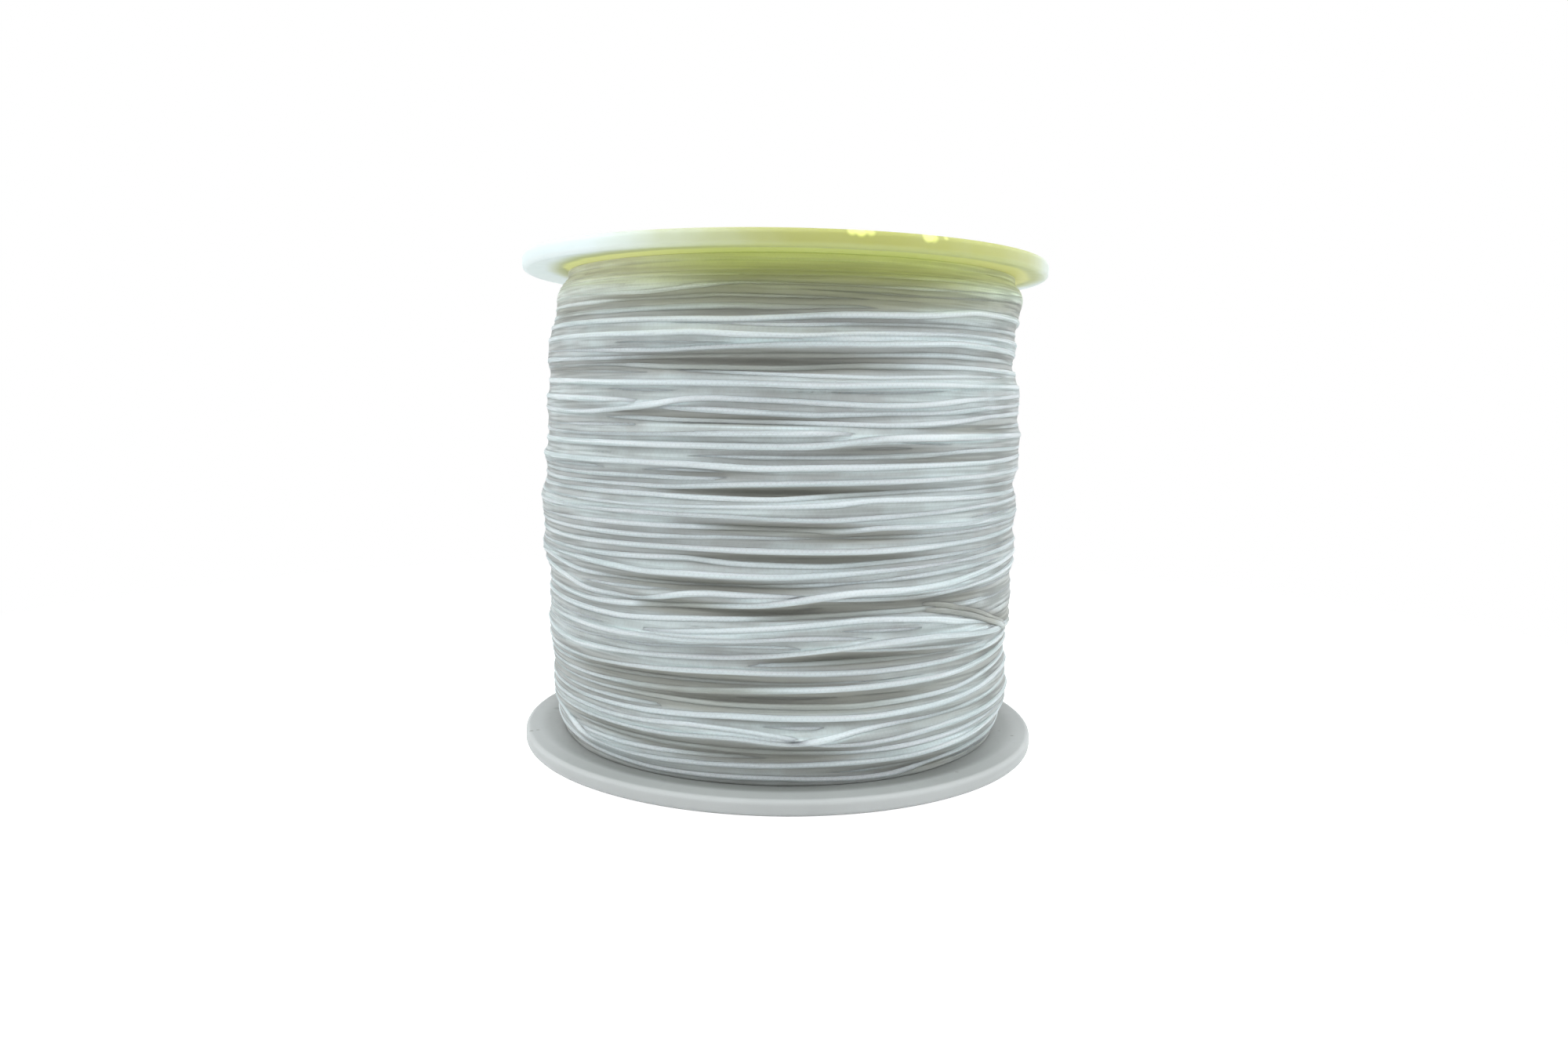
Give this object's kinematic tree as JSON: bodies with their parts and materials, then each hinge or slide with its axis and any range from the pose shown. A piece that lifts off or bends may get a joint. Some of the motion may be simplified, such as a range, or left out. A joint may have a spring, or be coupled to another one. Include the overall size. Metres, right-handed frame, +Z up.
{
  "type": "fishing line spool",
  "caption": "Bulk spool of thick white braided fishing line: round flanges on a barrel, full winding, through bore for a spindle and paper labels sunk in the flanges.",
  "frame": {"origin": "on the spool's axis at the foot of the lower flange", "axes": "+Z up along the spool's axis, -Y towards the side where the line's last wrap ends to the right"},
  "size_m": [0.064, 0.064, 0.059],
  "materials": {
    "flange_plastic": "satin, slightly translucent white",
    "upper_flange_plastic": "satin, slightly translucent white with the label glowing through",
    "barrel_plastic": "satin",
    "line": "braided white polymer thread",
    "label_paper": "matt coated paper",
    "label_plain": "matt uncoated paper"
  },
  "bodies": {
    "root": {"lower_flange": "flange_plastic", "upper_flange": "upper_flange_plastic", "barrel": "barrel_plastic", "line_core": "line", "line_outer_turns": "line", "line_start_knot": "line", "top_label": "label_paper", "bottom_label": "label_plain"}
  },
  "joints": []
}
